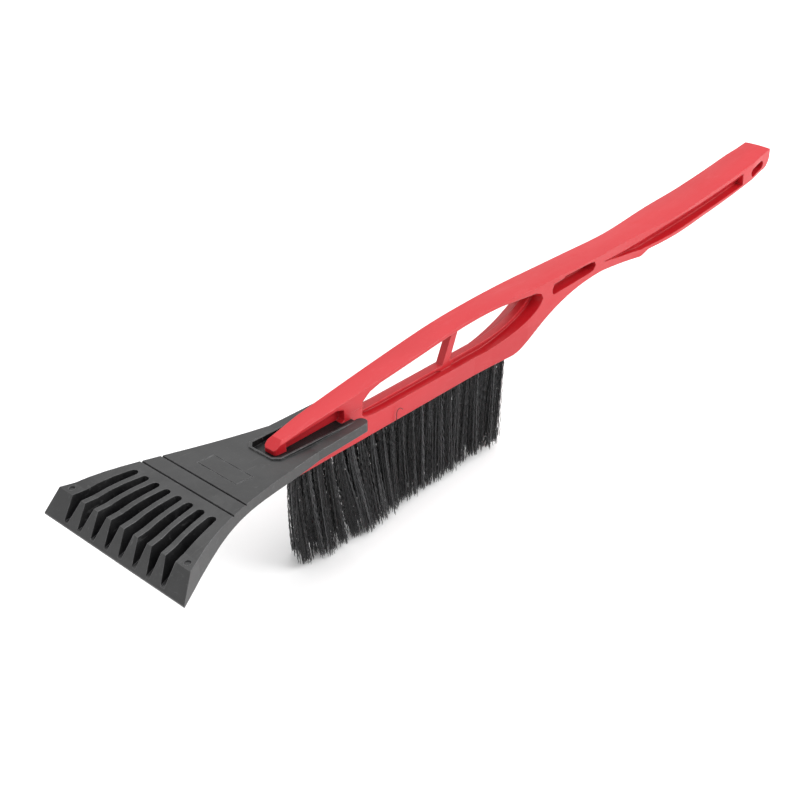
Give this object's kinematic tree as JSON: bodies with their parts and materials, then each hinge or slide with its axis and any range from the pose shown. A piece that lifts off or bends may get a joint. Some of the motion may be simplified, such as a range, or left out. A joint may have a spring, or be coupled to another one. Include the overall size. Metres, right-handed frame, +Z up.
{
  "type": "windshield ice scraper",
  "caption": "Hand ice scraper with a slotted, flared blade head, a long curved open-framed handle and a snow brush of stiff tufts along the handle's underside.",
  "frame": {"origin": "middle of the underside of the bounding box, level with the bristle tips", "axes": "+X along the length from the blade to the tip of the handle, +Y across towards the right of someone holding the handle with the blade ahead, +Z up, away from the bristle tips"},
  "size_m": [0.535, 0.1, 0.102],
  "materials": {
    "handle_plastic": "red moulded polypropylene, semi-gloss",
    "head_plastic": "black moulded plastic, satin, scuffed",
    "bristles": "black crimped filaments",
    "anchor_steel": "plain wire"
  },
  "bodies": {
    "root": {"handle": "handle_plastic", "scraper_head": "head_plastic", "tuft_anchors": "anchor_steel", "bristle_tuft_left_01": "bristles", "bristle_tuft_left_02": "bristles", "bristle_tuft_left_03": "bristles", "bristle_tuft_left_04": "bristles", "bristle_tuft_left_05": "bristles", "bristle_tuft_left_06": "bristles", "bristle_tuft_left_07": "bristles", "bristle_tuft_left_08": "bristles", "bristle_tuft_left_09": "bristles", "bristle_tuft_left_10": "bristles", "bristle_tuft_left_11": "bristles", "bristle_tuft_left_12": "bristles", "bristle_tuft_left_13": "bristles", "bristle_tuft_left_14": "bristles", "bristle_tuft_left_15": "bristles", "bristle_tuft_left_16": "bristles", "bristle_tuft_left_17": "bristles", "bristle_tuft_left_18": "bristles", "bristle_tuft_left_19": "bristles", "bristle_tuft_left_20": "bristles", "bristle_tuft_left_21": "bristles", "bristle_tuft_left_22": "bristles", "bristle_tuft_right_01": "bristles", "bristle_tuft_right_02": "bristles", "bristle_tuft_right_03": "bristles", "bristle_tuft_right_04": "bristles", "bristle_tuft_right_05": "bristles", "bristle_tuft_right_06": "bristles", "bristle_tuft_right_07": "bristles", "bristle_tuft_right_08": "bristles", "bristle_tuft_right_09": "bristles", "bristle_tuft_right_10": "bristles", "bristle_tuft_right_11": "bristles", "bristle_tuft_right_12": "bristles", "bristle_tuft_right_13": "bristles", "bristle_tuft_right_14": "bristles", "bristle_tuft_right_15": "bristles", "bristle_tuft_right_16": "bristles", "bristle_tuft_right_17": "bristles", "bristle_tuft_right_18": "bristles", "bristle_tuft_right_19": "bristles", "bristle_tuft_right_20": "bristles", "bristle_tuft_right_21": "bristles", "bristle_tuft_right_22": "bristles"}
  },
  "joints": []
}
